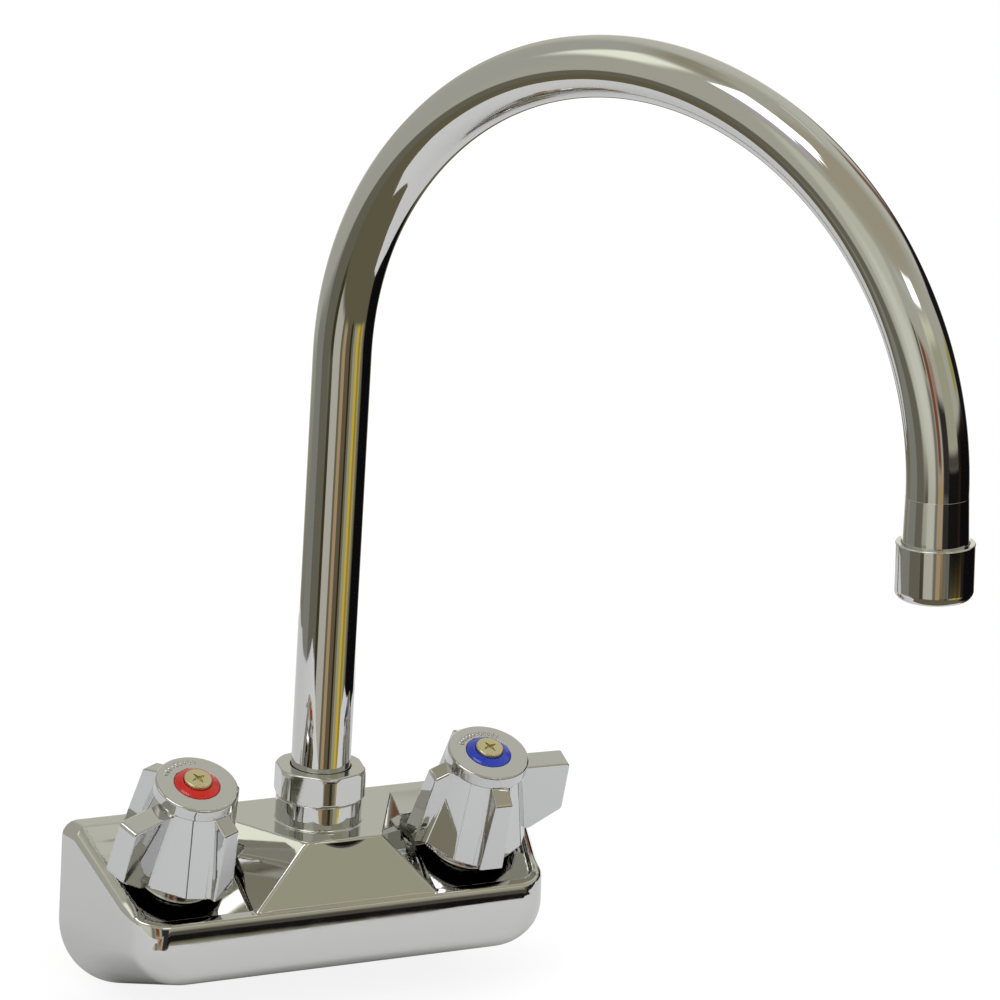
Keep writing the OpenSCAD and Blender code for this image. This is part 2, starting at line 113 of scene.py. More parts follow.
# %% What hangs and stands in the room
ROOM_COLOUR, ROOM_LIGHT = "#9C9B8F", 1.6
patches = [
    # from, to, low, high, softness of the edge, colour, and brightness if not the room's
    (-180, 180, -90, -15, 6, "#5A5542"),    # dim floor beyond the table
    (-180, -108, -16, 58, 16, "#989890"),   # left wall
    (-140, -104, -24, -12, 4, "#74756D"),   # things standing on the floor
    (-106, -72, -24, -11, 3, "#5E5B50"),
    (-72, -61, -24, -11, 3, "#37311F"),
    (-61, -34, -24, -11, 3, "#A4A298"),
    (-34, -26, -24, -11, 3, "#605A48"),
    (-26, -15, -24, -11, 3, "#928870"),
    (-180, -98, 58, 74, 14, "#868370"),
    (-60, 66, 38, 84, 22, "#938D7A"),       # ceiling over the camera
    (84, 176, 14, 62, 22, "#ACACA2"),       # lit ceiling behind
    (84, 122, 65, 70, 3, "#B4B4AA"),
    (-130, -102, 31, 53, 11, "#DADCCC", 1.7),  # lamp on the left wall
    (-78, -37, -13, 31, 8, "#B0B0A2"),      # big front screen
    (-68, -42, -8, 12, 10, "#BCBCB2"),
    (-84, -56, 39, 50, 7, "#A09CA8"),
    (-92, -62, 47, 71, 4, "#FFFFFF", 3.0),  # skylight, narrower to the right
    (-64, -46, 53, 71, 4, "#FFFFFF", 3.0),
    (-48, -37, 58, 71, 4, "#FFFFFF", 3.0),
    (-39, -29, 65, 71, 3, "#FFFFFF", 3.0),
    (2, 25, 33, 39.5, 3, "#FFFFFF", 2.6),   # small lamp
    (-22, 2, 30, 36, 5, "#A2A49C"),
    (4, 36, 22, 30, 6, "#B8B8A0"),
    (12, 46, -1, 24, 5, "#93927E"),
    (-36, -27, -14, 6, 5, "#6E6C62"),
    (-33, -28, 8, 18, 3, "#50503C"),
    (-25, -15, -8, 18, 4, "#6E4230"),       # reddish cabinet
    (-15, -4, 4, 18, 6, "#8C7466"),
    (-26, -6, -22, -8, 6, "#9A8464"),
    (-9, 12, -13, 9, 5, "#2C2A28"),         # dark things at camera height
    (10, 62, -5.5, -1.5, 3, "#46403A"),
    (10, 62, -14, -5, 3, "#141210"),
    (-15, 0, -26, -13, 2, "#5A5040"),       # legs and edges of a workbench
    (0, 7, -26, -13, 2, "#2C2614"),
    (7, 14, -26, -13, 2, "#67624D"),
    (14, 25, -26, -13, 2, "#8E8C76"),
    (25, 35, -26, -13, 2, "#B4A03A"),       # yellow strip
    (35, 42, -26, -13, 2, "#96772D"),
    (42, 49, -26, -13, 2, "#988F61"),
    (49, 54, -26, -13, 2, "#73715B"),
    (48, 84, -15, 3, 5, "#221A14"),
    (58, 116, -42, 0, 7, "#0B0A0C"),        # black doorway
    (84, 118, -4, 22, 5, "#141318"),
    (114, 136, 2, 14, 6, "#1E0F08"),
    (68, 84, 6, 15, 5, "#8A8644"),
    (104, 116, 20, 40, 8, "#6E5040"),
    (122, 180, -27, 3, 6, "#E8E8E6", 1.7),  # bright wall at the back
    (140, 160, 0, 14, 6, "#D8D8D2"),
    (-180, -172, -20, 0, 8, "#C0C0BA"),
]
print("room:", len(patches), "patches")

# %% [markdown]
# The compass direction and the height of a ray are worked out once. Each patch turns them
# into a mask, one soft step in each direction, and the mask mixes the patch's colour over
# the room so far. At the end the kind of ray decides what it sees.

# %% World
def bare_tree(owner):
    """The emptied node tree of a world or a material."""
    owner.use_nodes = True
    owner.node_tree.nodes.clear()
    return owner.node_tree


world = bpy.data.worlds.new("studio_room")
scene.world = world
tree = bare_tree(world)
way = add(tree, "ShaderNodeTexCoord").outputs["Generated"]
xyz = add(tree, "ShaderNodeSeparateXYZ", {0: way}).outputs
minus_y = add(tree, "ShaderNodeMath", {0: xyz[1], 1: -1.0}, operation="MULTIPLY")
compass = add(tree, "ShaderNodeMath", {0: xyz[0], 1: minus_y}, operation="ARCTAN2")
compass = add(tree, "ShaderNodeMath", {0: compass}, operation="DEGREES")
height = add(tree, "ShaderNodeMath", {0: xyz[2]}, operation="ARCSINE")
height = add(tree, "ShaderNodeMath", {0: height}, operation="DEGREES")
room = tuple(c * ROOM_LIGHT for c in linear(ROOM_COLOUR)[:3]) + (1.0,)
for start, end, low, high, soft, code, *own_light in patches:
    light = own_light[0] if own_light else ROOM_LIGHT
    masks = []
    for value, a, b, wraps in ((compass, start, end, True), (height, low, high, False)):
        off = add(tree, "ShaderNodeMath", {0: value, 1: (a + b) / 2}, operation="SUBTRACT")
        if wraps:
            off = add(tree, "ShaderNodeMath", {0: off, 1: 180.0, 2: -180.0}, operation="WRAP")
        off = add(tree, "ShaderNodeMath", {0: off}, operation="ABSOLUTE")
        half = (b - a) / 2
        masks.append(add(tree, "ShaderNodeMapRange",
                         {"Value": off, "From Min": half - soft / 2, "From Max": half + soft / 2,
                          "To Min": 1.0, "To Max": 0.0}, interpolation_type="SMOOTHSTEP"))
    mask = add(tree, "ShaderNodeMath", {0: masks[0], 1: masks[1]}, operation="MULTIPLY")
    shade = tuple(c * light for c in linear(code)[:3]) + (1.0,)
    room = add(tree, "ShaderNodeMix", {0: mask, 6: room, 7: shade}, data_type="RGBA").outputs[2]
rays = add(tree, "ShaderNodeLightPath").outputs
mirror_room = add(tree, "ShaderNodeBackground", {"Color": room, "Strength": 1.0})
even = add(tree, "ShaderNodeBackground", {"Color": linear("#F4F5F6"), "Strength": 0.8})
backdrop = add(tree, "ShaderNodeBackground", {"Color": (1, 1, 1, 1), "Strength": 1.0})
lit = add(tree, "ShaderNodeMixShader", {0: rays["Is Glossy Ray"], 1: even, 2: mirror_room})
seen = add(tree, "ShaderNodeMixShader", {0: rays["Is Camera Ray"], 1: lit, 2: backdrop})
add(tree, "ShaderNodeOutputWorld", {0: seen})
print("world:", len(tree.nodes), "nodes")

# %% [markdown]
# ## The table and the lamps
# The faucet stands on a pale table top. The camera sees it as white with a faint shadow,
# and the chrome mirrors it as the light grey of its upright faces. The table ends a hand's
# width in front of the faucet, which is why the taller spout sees the dim floor beyond it.
# Its laminate is finely speckled, and a painted shade darkens it in an oval around the faucet's foot.

# %% Table
TABLE_TOP = -0.0286
rim = [(-0.37, -0.06), (-0.33, -0.13), (-0.25, -0.18), (-0.13, -0.212), (-0.05, -0.18),
       (0.0, -0.17), (0.031, -0.174), (0.056, -0.178), (0.092, -0.182), (0.107, -0.189),
       (0.15, -0.2), (0.20, -0.23), (0.26, -0.20), (0.295, -0.08), (0.28, 0.08),
       (0.22, 0.25), (0.1, 0.36), (-0.1, 0.37), (-0.24, 0.27), (-0.31, 0.13)]
sheet = bpy.data.meshes.new("table")
sheet.from_pydata([(x, y, TABLE_TOP) for x, y in rim], [], [range(len(rim))])
table = put("table", sheet)
paint = bpy.data.materials.new("pale_laminate")
tree = bare_tree(paint)
speck = add(tree, "ShaderNodeTexNoise", {"Scale": 900.0, "Detail": 2.0})
spot = add(tree, "ShaderNodeTexCoord").outputs["Object"]
oval = add(tree, "ShaderNodeVectorMath", {0: spot, 1: (0.72, 1.9, 0.0)}, operation="MULTIPLY")
away = add(tree, "ShaderNodeVectorMath", {0: oval, 1: (0.0, -0.045, 0.0)},
           operation="DISTANCE").outputs["Value"]
speck = add(tree, "ShaderNodeMapRange", {"Value": speck, "To Min": 0.76, "To Max": 0.80})
# Painted shade: the laminate is darkened to 0.6 of its tone close around the faucet, and the chrome mirrors
# it.
close = add(tree, "ShaderNodeMapRange", {"Value": away, "From Min": 0.035, "From Max": 0.085,
                                         "To Min": 0.6, "To Max": 1.0}, interpolation_type="SMOOTHSTEP")
speck_and_painted_shade = add(tree, "ShaderNodeMath", {0: speck, 1: close}, operation="MULTIPLY")
grey = add(tree, "ShaderNodeCombineColor", {0: speck_and_painted_shade, 1: speck_and_painted_shade, 2: speck_and_painted_shade})
matt = add(tree, "ShaderNodeBsdfDiffuse", {"Color": grey})
glow = add(tree, "ShaderNodeEmission", {"Color": (1, 1, 1, 1), "Strength": 1.09})
white = add(tree, "ShaderNodeMixShader", {0: 0.2, 1: glow, 2: matt})
rays = add(tree, "ShaderNodeLightPath").outputs
seen = add(tree, "ShaderNodeMixShader", {0: rays["Is Camera Ray"], 1: matt, 2: white})
add(tree, "ShaderNodeOutputMaterial", {0: seen})
table.data.materials.append(paint)
print("table with", len(rim), "corners")

# %% [markdown]
# Two soft lamps, hidden from the chrome, give the plastic and brass pieces their modelling.

# %% Lamps
AIM = Vector((0, -0.05, 0.05))
for name, place, size, watts in (("key", (-0.7, -0.9, 1.0), 0.9, 9.0), ("fill", (0.9, -0.6, 0.7), 0.9, 4.0)):
    lamp = put(name, bpy.data.lights.new(name, "AREA"))
    lamp.data.size = size
    lamp.data.energy = watts
    lamp.location = place
    lamp.rotation_euler = (AIM - Vector(place)).to_track_quat("-Z", "Y").to_euler()
    lamp.visible_glossy = False
print("lamps: key and fill")

# %% [markdown]
# ## Finishes
# Most metal here is bright chrome plate. The rest is raw or tarnished brass, plated steel
# and the bare inside of a die casting. Chrome is a light grey metal with low roughness.
# Plate over a casting keeps the faint waves of the polishing wheel, a few millimetres
# across, and plate over a drawn tube is nearly flawless with a little haze. Patterns read
# Object coordinates, whose unit is the metre, so a scale is one over the real size.

# %% Finish maker
def finish(name, code, rough=0.05, metal=0.0, wave_mm=8.0, wave_depth=0.0, haze=0.0, mottle=0.0,
           grain=(1, 1, 1), coat=0.0):
    """A material with waves of a real width and depth in millimetres, haze and mottled colour."""
    made = bpy.data.materials.new(name)
    tree = bare_tree(made)
    place = add(tree, "ShaderNodeTexCoord").outputs["Object"]
    place = add(tree, "ShaderNodeMapping", {0: place, 3: grain})
    wave = add(tree, "ShaderNodeTexNoise", {"Vector": place, "Scale": 1000 / wave_mm, "Detail": 2.0})
    fine = add(tree, "ShaderNodeTexNoise", {"Vector": place, "Scale": 4000 / wave_mm, "Detail": 4.0})
    base = linear(code)
    dark = tuple(c * (1 - mottle) for c in base[:3]) + (1.0,)
    colour = add(tree, "ShaderNodeMix", {0: fine, 6: dark, 7: base}, data_type="RGBA").outputs[2]
    shine = add(tree, "ShaderNodeMapRange", {"Value": wave, "From Min": 0.35, "From Max": 0.65,
                                             "To Min": rough, "To Max": rough + haze})
    bump = add(tree, "ShaderNodeBump", {"Height": wave, "Strength": 1.0, "Distance": wave_depth * 0.001})
    shader = add(tree, "ShaderNodeBsdfPrincipled", {"Base Color": colour, "Roughness": shine,
                                                    "Metallic": metal, "Normal": bump, "Coat Weight": coat})
    add(tree, "ShaderNodeOutputMaterial", {0: shader})
    return made

# %% Finishes
# After the colour: roughness, metal, wave width and depth in mm, haze, mottling, grain.
# Bright nickel and chrome plate, buffed, over a sand casting: light grey, soft waves.
chrome_cast = finish("buffed_chrome_on_cast_brass", "#CDCDCB", 0.035, 1.0, 9.0, 0.0035, 0.035, 0.02)
# The same plate over drawn tube: nearly a perfect mirror.
chrome_tube = finish("bright_chrome_on_drawn_tube", "#CFCFCD", 0.02, 1.0, 14.0, 0.002, 0.02, 0.01)
# The nut is turned and milled before plating, so its haze runs round the axis.
chrome_turned = finish("chrome_on_turned_brass", "#CBCBC9", 0.05, 1.0, 1.6, 0.002, 0.05, 0.03, (0.25, 0.25, 3))
# On the wall side and in the lightening pockets the sand-cast skin was never buffed.
chrome_raw = finish("plate_on_unbuffed_casting", "#A9A8A2", 0.42, 1.0, 0.9, 0.05, 0.2, 0.25)
# Plate over die-cast zinc has a very fine orange peel.
chrome_zinc = finish("chrome_on_die_cast_zinc", "#CDCDCD", 0.03, 1.0, 5.0, 0.0025, 0.03, 0.02)
# The hollow inside of the handle isn't polished: dull and grainy, and painted near black as painted shade.
zinc_painted_dark = finish("unplated_zinc_painted_dark", "#1C1C1D", 0.6, 0.3, 0.8, 0.02, 0.2, 0.3)
# Raw machined brass: warm, with tool marks and handling stains.
brass = finish("machined_brass", "#C9A658", 0.22, 1.0, 1.2, 0.006, 0.12, 0.18, (0.4, 0.4, 4))
# The bonnet nut's brass is painted dark brown: painted shade for the dark under the handle.
brass_painted_dark = finish("brass_with_painted_shade", "#4A3B22", 0.42, 1.0, 1.5, 0.01, 0.2, 0.3)
# The flash line of the casting is filed, not buffed, so the plate over it stays dull.
flash_line = finish("dull_plate_on_filed_flash", "#77766F", 0.3, 1.0, 0.7, 0.01, 0.1, 0.1)
# The handle screw has a pale yellow passivated head.
screw_plate = finish("yellow_passivated_steel", "#DDD3AA", 0.22, 1.0, 0.9, 0.0008, 0.12, 0.10)
# Zinc plated pressed steel is brighter and bluer than raw steel, and finely crystalline.
zinc_steel = finish("zinc_plated_steel", "#B9BDC2", 0.28, 1.0, 0.7, 0.004, 0.15, 0.12)
# Nitrile rubber: black, matt, slightly dusty.
rubber = finish("nitrile_rubber", "#161616", 0.55, 0.0, 0.9, 0.01, 0.2, 0.25)
# White acetal: a waxy moulded plastic.
acetal = finish("moulded_acetal", "#E8E7E0", 0.35, 0.0, 2.5, 0.006, 0.12, 0.05)
# Lapped alumina discs: hard, off-white and close to a mirror.
ceramic = finish("lapped_alumina", "#EDEBE3", 0.12, 0.0, 1.5, 0.001, 0.05, 0.04)
# The index rings are moulded in a clear strong red and blue with a glossy skin.
red_plastic = finish("moulded_red_acrylic", "#B4160C", 0.16, 0.0, 3.0, 0.006, 0.08, 0.10, coat=0.3)
blue_plastic = finish("moulded_blue_acrylic", "#1A33A0", 0.16, 0.0, 3.0, 0.006, 0.08, 0.10, coat=0.3)
print("finishes:", len(bpy.data.materials))

# %% [markdown]
# ## Skins from a distance rule
# A casting has no sharp edges: every outside corner is buffed round and every inside corner
# is filled a little. That is hard to get with bevels and easy with a distance rule, a
# function that is negative inside the metal and positive outside. Two shapes meet in a
# rounded corner of any radius with one short formula. The helper samples the rule on a
# grid, puts one point in each cell that the surface passes through, slides it onto the
# surface, and takes the shading direction from the rule itself. Flat faces come out as
# perfect mirrors, which is what chrome needs.

# %% Rounded corners and fillets
def meet(a, b, r):
    """The part inside both a and b, with their corner rounded by r."""
    return np.minimum(np.maximum(a, b), -r) + np.hypot(np.maximum(a + r, 0), np.maximum(b + r, 0))


def join(a, b, r):
    """a and b together, with a fillet of r where they meet."""
    return -meet(-a, -b, r)


def blend01(value, low, high):
    """A soft step from 0 at low to 1 at high."""
    t = np.clip((value - low) / (high - low), 0, 1)
    return t * t * (3 - 2 * t)

# %% [markdown]
# A surface is its points in millimetres, its quads and its shading directions. A cell gets
# its point from where the surface crosses the cell's edges, and three short steps down the
# slope put it in place.

# %% Skin of a distance rule
def slope_of(rule, p, e=0.01):
    """The direction in which the rule grows fastest, at each point."""
    parts = []
    for k in range(3):
        ahead, behind = list(p.T), list(p.T)
        ahead[k] = ahead[k] + e
        behind[k] = behind[k] - e
        parts.append((rule(*ahead) - rule(*behind)) / (2 * e))
    return np.stack(parts, 1)


def skin(rule, low, high, step):
    """Points, quads and shading directions of the surface rule = 0, in millimetres."""
    axes = [np.arange(a, b + step, step) for a, b in zip(low, high)]
    x, y, z = axes[0][:, None, None], axes[1][None, :, None], axes[2][None, None, :]
    value = np.broadcast_to(rule(x, y, z), [len(a) for a in axes]).astype(np.float32)
    inside = value < 0
    corners = [(i, j, k) for i in (0, 1) for j in (0, 1) for k in (0, 1)]
    size = [n - 1 for n in value.shape]
    full = sum(inside[i:size[0] + i, j:size[1] + j, k:size[2] + k].astype(np.int8) for i, j, k in corners)
    cells = np.argwhere((full > 0) & (full < 8))
    number = -np.ones(size, np.int64)
    number[tuple(cells.T)] = np.arange(len(cells))
    held = np.stack([value[tuple((cells + c).T)] for c in corners], 1)
    total, count = np.zeros((len(cells), 3)), np.zeros((len(cells), 1))
    for a in range(8):
        for b in range(a + 1, 8):
            if sum(abs(m - n) for m, n in zip(corners[a], corners[b])) == 1:
                cross = (held[:, a] < 0) != (held[:, b] < 0)
                t = np.where(cross, held[:, a] / np.where(cross, held[:, a] - held[:, b], 1), 0)[:, None]
                start, end = np.array(corners[a]), np.array(corners[b])
                total += cross[:, None] * (start + t * (end - start))
                count += cross[:, None]
    points = np.array([a[0] for a in axes]) + step * (cells + total / count)
    for _ in range(3):
        g = slope_of(rule, points)
        g2 = np.maximum((g * g).sum(1), 1e-6)
        move = (rule(*points.T) / g2)[:, None] * g
        points -= move * np.minimum(1, 0.5 * step / np.maximum(np.linalg.norm(move, axis=1), 1e-9))[:, None]
    g = slope_of(rule, points)
    shade = g / np.maximum(np.linalg.norm(g, axis=1), 1e-9)[:, None]
    quads = []
    for a in range(3):
        b, c = (a + 1) % 3, (a + 2) % 3
        first = np.take(inside, range(inside.shape[a] - 1), a)
        second = np.take(inside, range(1, inside.shape[a]), a)
        at = np.argwhere(first != second)
        at = at[(at[:, b] > 0) & (at[:, c] > 0) & (at[:, b] < size[b]) & (at[:, c] < size[c])]
        around = []
        for db, dc in ((-1, -1), (0, -1), (0, 0), (-1, 0)):
            cell = at.copy()
            cell[:, b] += db
            cell[:, c] += dc
            around.append(number[tuple(cell.T)])
        around = np.stack(around, 1)
        outward = first[tuple(at.T)]
        around[~outward] = around[~outward][:, ::-1]
        quads.append(around)
    return points, np.concatenate(quads), shade

# %% [markdown]
# Points, faces and shading directions then become a mesh object. The object itself stays at
# the origin, unturned, and its points are moved to where the part sits. A second helper
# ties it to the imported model.

# %% Mesh pieces
def piece(name, surface, materials, place=None, which=None):
    """A mesh object from a surface in millimetres. which says the material of each face."""
    points, faces, shade = surface
    place = place or Matrix()
    turn = np.array(place.to_3x3()).T
    mesh = bpy.data.meshes.new(name)
    placed = points @ turn + np.array(place.translation)
    mesh.from_pydata((placed * 0.001).tolist(), [], faces.tolist())
    mesh.polygons.foreach_set("use_smooth", [True] * len(mesh.polygons))
    for m in materials:
        mesh.materials.append(m)
    if which is not None:
        mesh.polygons.foreach_set("material_index", np.asarray(which, np.int32))
    mesh.normals_split_custom_set_from_vertices((shade @ turn).tolist())
    return put(name, mesh)


def attach(made, body_name, slot, *nodes):
    """Let a piece ride on its body and stand for its CAD nodes. slot is not used."""
    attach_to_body(made, body_name)
    if nodes:
        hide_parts(*nodes)

# %% [markdown]
# ## The body casting
# The body is a wedge: a flat ledge along the wall, a long slope toward the sink with two
# sunk floors under the handles, and a raised block in the middle that carries the spout.
# The rule below is written the way the pattern maker would cut it: the outer wedge with
# its soft corners, less the sunk floors, plus the block, the hub and the valve seats, less
# the waterways and the lightening pockets on the wall side.

# %% Body casting rule
# Millimetres from the wall, the middle and the height of the inlets.
SLOPE = radians(27.56)              # fall of the long slope toward the sink
TILT = radians(21)                  # lean of the valves toward the user
LEDGE, TOP = 6.6, 30.0              # the ledge on the wall side, the flat top
HALF, UNDERSIDE, DEEP = 79.6, -28.3, 49.1
BLOCK_HALF, BLOCK_DEEP = 32.3, 41.5  # the raised block, at the flat top
RISER, CENTRE = 21.2, 50.8          # the spout from the wall, the valves from the middle
HUB_TOP, NECK_TOP = 38.2, 43.5      # the hub and its threaded neck
VALVE_OUT, VALVE_UP = 26.27, 19.73  # where a valve axis crosses its seat


def body_rule(x, y, z):
    u, v = np.abs(x), -y
    # The wedge: its sides and underside draw in toward the front.
    side = (u - HALF + 0.1924 * (v - 1)) * 0.982
    floor = (UNDERSIDE + 0.3737 * np.clip(v - 1, 0, None) - z) * 0.9367
    go = np.clip(v / 45, 0, 1)
    rx, rz = 25.5 - 8.5 * go, 25 - 12.5 * go
    ro = np.sqrt(rx * rz)
    hull = meet(side * ro / rx, floor * ro / rz, ro)
    # The front leans back more and more toward its top edge, which is nearly sharp.
    front_r = 4 + 4 * np.clip((side - floor) / 20 + 0.5, 0, 1)
    lean = 0.0034 * np.clip(z + 8, 0, 18.5) ** 2 + 0.0128 * np.clip(z - 5, 0, 5.5) ** 2
    hull = meet(hull, (v - DEEP + lean) * 0.99, front_r)
    # The long slope, a little flatter along the front.
    over = (z - TOP) * cos(SLOPE) + (v - LEDGE) * sin(SLOPE)
    flatter = 0.95 * np.clip((v - 42.5) / 5, 0, 1)
    hull = meet(hull, over - flatter, 4 - 3.3 * blend01(v, 34, 46))
    # The sunk floors under the handles.
    along = (v - LEDGE) * cos(SLOPE) - (z - TOP) * sin(SLOPE)
    pocket = meet((u - 75.6) * 0.98 + (along - 0.8) * 0.1996, along - 42.6, 4.5)
    pocket = meet(np.maximum(pocket, 26.3 - u), -(over + blend01(along, -1, 12)), 0.7)
    hull = meet(hull, -pocket, 0.6)
    # The raised block, with a shallow bulge on its front below the spout.
    flank = (u - BLOCK_HALF) * 0.6375 + (v - LEDGE) * 0.3526 + (z - TOP) * 0.6849
    front = (v - BLOCK_DEEP) * 0.9662 + (z - TOP) * 0.2577
    block = np.maximum(meet(meet(u - BLOCK_HALF, flank, 0.4), front, 0.7), 8 - z)
    solid = join(hull, block, 0.4 + 0.3 * blend01(v, 43, 46) * (1 - blend01(u, 25, 30)))
    bulge = (v - BLOCK_DEEP - 0.45 + 0.006 * x * x - 0.11 * (TOP - z)) * 0.99
    solid = join(solid, np.maximum(meet(bulge, 25 - z, 0.3), np.maximum(u - 10, 34 - v)), 0.15)
    solid = meet(solid, z - TOP, 0.35 + 0.45 * blend01(v, 39, BLOCK_DEEP))
    solid = np.maximum(solid, meet(side, z - TOP, 5.0))
    # The hub and its threaded neck.
    hub = np.hypot(x, v - RISER)
    solid = join(solid, meet(np.maximum(hub - 13.9, 20 - z), z - HUB_TOP, 0.4), 0.5)
    solid = np.minimum(solid, meet(np.maximum(hub - 12.2, 30 - z), z - NECK_TOP, 0.3))
    # The valve seats and bores.
    dy, dz = -(y + VALVE_OUT), z - VALVE_UP
    rise = dz * cos(TILT) + dy * sin(TILT)
    out = dy * cos(TILT) - dz * sin(TILT)
    spread = np.hypot(u - CENTRE, out)
    solid = join(solid, meet(np.maximum(spread - 13, -8 - rise), rise - 1.6, 0.4), 0.8)
    solid = np.maximum(solid, -np.maximum(spread - 10.5, -3 - rise))
    solid = np.maximum(solid, -np.maximum(spread - 9, -17 - rise))
    # The spout's bore, the inlets and the lightening pockets.
    solid = np.maximum(solid, -np.maximum(hub - 10, 15 - z))
    inlet = np.hypot(u - CENTRE, z)
    solid = np.maximum(solid, -np.maximum(inlet - 8.5, v - 10))
    solid = np.maximum(solid, -np.maximum(inlet - 11.08, v - 1.5))
    for end, low, high in ((34, -21, 4), (26, 18, 24.5)):
        hole = meet(meet(np.abs(u - 27) - 11, v - end, 3.0), np.maximum(low - z, z - high), 1.5)
        solid = meet(solid, -hole, 0.6)
    return meet(solid, -v, 0.4)


# %% [markdown]
# The buffing wheel never reaches the wall side and the lightening pockets. Their faces are
# picked by where they lie, and get the rougher plate.

# %% Body casting
def unbuffed(points, quads, shade):
    middle = points[quads].mean(1)
    depth, off, z = -middle[:, 1], np.abs(np.abs(middle[:, 0]) - 27), middle[:, 2]
    wall_side = (shade[quads].mean(1)[:, 1] > 0.7) & (depth < 40)
    low_pocket = (z > -21.2) & (z < 4.2)
    high_pocket = (depth < 25.9) & (z > 17.8) & (z < 24.7)
    return wall_side | (depth > 0.8) & (depth < 36) & (off < 11.2) & (low_pocket | high_pocket)


surface = skin(body_rule, (-81, -51, -29.5), (81, 1.2, 44.6), 0.62)
body = piece("body_cast", surface, [chrome_cast, chrome_raw], which=unbuffed(*surface))
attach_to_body(body, "base")
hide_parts("body_casting")
print("body casting:", len(body.data.polygons), "quads")

# %% [markdown]
# ## Turned rings
# Washers, shanks and the aerator shell are turned on a lathe, so each is one outline spun
# about an axis. The outline lists its corners with the radius of the broken edge, because
# a turned edge is never razor sharp, and the helper also writes down the exact shading
# direction of every point, so that flats stay flat and rounded edges catch one clean glint.

# %% Turned rings
def turned(outline, around=96):
    """Closed outline of (radius, height, edge rounding), anticlockwise, spun about Z."""
    spots, leans = [], []
    for k, (r, z, f) in enumerate(outline):
        here = np.array((r, z), float)
        a = here - np.array(outline[k - 1][:2])
        b = np.array(outline[(k + 1) % len(outline)][:2]) - here
        a, b = a / np.hypot(*a), b / np.hypot(*b)
        bend = atan2(a[0] * b[1] - a[1] * b[0], a @ b)
        start = here - a * f * tan(abs(bend) / 2)
        sign = 1 if bend > 0 else -1
        centre = start + sign * f * np.array((-a[1], a[0]))
        steps = max(1, round(abs(bend) / radians(15)))
        for i in range(steps + 1):
            c, s = cos(bend * i / steps), sin(bend * i / steps)
            spin = np.array(((c, -s), (s, c)))
            spots.append(centre + spin @ (start - centre))
            leans.append(spin @ np.array((a[1], -a[0])))
    spots, leans, n = np.array(spots), np.array(leans), len(spots)
    angle = np.arange(around) * 2 * pi / around
    c, s = np.cos(angle)[:, None], np.sin(angle)[:, None]
    points, shade = [np.stack([c * v[:, 0], s * v[:, 0], 0 * c + v[:, 1]], 2).reshape(-1, 3)
                     for v in (spots, leans)]
    i, j = [g.ravel() for g in np.meshgrid(range(around), range(n), indexing="ij")]
    i2, j2 = (i + 1) % around, (j + 1) % n
    quads = np.stack([i * n + j, i2 * n + j, i2 * n + j2, i * n + j2], 1)
    return points, quads, shade

# %% [markdown]
# ## Places
# The nut and the spout stand on the riser. The spout is drawn in its own plane and then
# turned to where the photograph shows it, and its outlet leg leans a few degrees.

# %% Places
SPOUT_TURN = radians(-63.1)
OUTLET_LEAN = radians(3.4)
BEND_RADIUS, BEND_HEIGHT = 110.2, 184.5
riser_at = Matrix.Translation((0, -RISER, 0))
spout_at = riser_at @ Matrix.Rotation(SPOUT_TURN, 4, "Z")
outlet_at = (spout_at @ Matrix.Translation((BEND_RADIUS, 0, BEND_HEIGHT))
             @ Matrix.Rotation(-OUTLET_LEAN, 4, "Y") @ Matrix.Translation((BEND_RADIUS, 0, -BEND_HEIGHT)))
print("outlet axis at", [round(v, 1) for v in outlet_at.translation], "mm")

# %% [markdown]
# ## Growing with Geometry Nodes
# What follows a path or repeats is grown by a node tree: the drawn spout tube, the screw
# threads, the parting lines, the index ticks and the trim teeth. The helper builds the
# frame of such a tree with named inputs, lets one function fill it, sets the inputs by
# their sockets' identifiers, and keeps the evaluated result as a plain mesh.

# %% Geometry Nodes helper
def grow(name, sizes, fill, material):
    """An object whose shape comes from a node tree. sizes are the tree's inputs, in metres."""
    tree = bpy.data.node_groups.new(name, "GeometryNodeTree")
    for key, value in sizes.items():
        kind = "NodeSocketInt" if isinstance(value, int) else "NodeSocketFloat"
        tree.interface.new_socket(key, in_out="INPUT", socket_type=kind)
    tree.interface.new_socket("Geometry", in_out="OUTPUT", socket_type="NodeSocketGeometry")
    shape = fill(tree, add(tree, "NodeGroupInput").outputs)
    whole = add(tree, "GeometryNodeRealizeInstances", {0: shape})
    painted = add(tree, "GeometryNodeSetMaterial", {0: whole, "Material": material})
    add(tree, "NodeGroupOutput", {0: painted})
    made = put(name, bpy.data.meshes.new(name))
    modifier = made.modifiers.new("grow", "NODES")
    modifier.node_group = tree
    for item in tree.interface.items_tree:
        if item.in_out == "INPUT":
            modifier[item.identifier] = sizes[item.name]
    return made


def settle(made, place=None):
    """Turn what the modifiers show into the object's own mesh, put in its place in metres."""
    view = bpy.context.evaluated_depsgraph_get()
    mesh = bpy.data.meshes.new_from_object(made.evaluated_get(view), preserve_all_data_layers=True,
                                           depsgraph=view)
    made.modifiers.clear()
    made.data = mesh
    mesh.name = made.name
    if place:
        move = place.copy()
        move.translation = place.translation * 0.001
        mesh.transform(move)
    mesh.polygons.foreach_set("use_smooth", [True] * len(mesh.polygons))
    mesh.update()
    print(made.name, len(mesh.polygons), "faces")
    return made


def swept(tree, path, radius, sides, caps=True):
    """A round wire or tube along a path."""
    circle = add(tree, "GeometryNodeCurvePrimitiveCircle", {"Resolution": sides, "Radius": radius})
    return add(tree, "GeometryNodeCurveToMesh", {"Curve": path, "Profile Curve": circle, "Fill Caps": caps})


